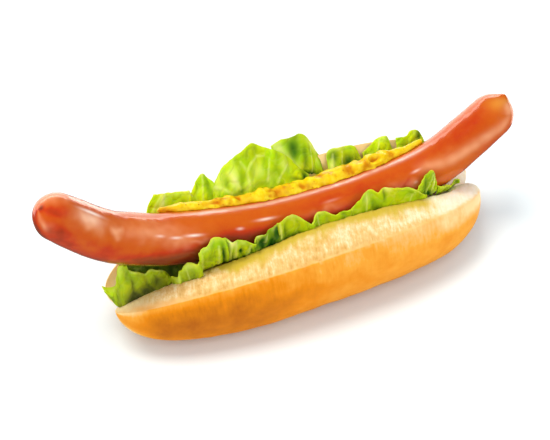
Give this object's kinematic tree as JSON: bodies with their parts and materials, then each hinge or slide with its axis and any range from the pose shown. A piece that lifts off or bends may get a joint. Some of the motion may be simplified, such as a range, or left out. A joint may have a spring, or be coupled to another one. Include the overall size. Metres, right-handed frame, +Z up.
{
  "type": "hot dog",
  "caption": "Curved sausage in a soft roll opened from its top, with a bead of mustard and curly lettuce leaves on both sides of the sausage.",
  "frame": {"origin": "middle of the box's bottom face, on the surface that the roll rests on", "axes": "+X along the roll towards the sausage's right end, -Y towards the front half of the roll, +Z up"},
  "size_m": [0.2002, 0.0624, 0.0799],
  "materials": {
    "roll": "soft baked crust, golden brown, with a pale cream crumb on the cut faces",
    "sausage": "glossy smoked skin, orange brown",
    "mustard": "grainy wet mustard, bright yellow with brown specks",
    "lettuce": "satin leaf, yellow green with pale ribs"
  },
  "bodies": {
    "root": {"bun": "roll", "sausage": "sausage", "mustard": "mustard", "lettuce_back_flat": "lettuce", "lettuce_back_point": "lettuce", "lettuce_back_large": "lettuce", "lettuce_back_dark": "lettuce", "lettuce_back_low": "lettuce", "lettuce_back_fold": "lettuce", "lettuce_back_knob": "lettuce", "lettuce_front_left": "lettuce", "lettuce_front_lobe": "lettuce", "lettuce_front_curl": "lettuce", "lettuce_front_pale": "lettuce", "lettuce_front_dark": "lettuce", "lettuce_front_wave": "lettuce", "lettuce_front_smooth": "lettuce", "lettuce_front_spike": "lettuce", "lettuce_front_end": "lettuce", "lettuce_under": "lettuce"}
  },
  "joints": []
}
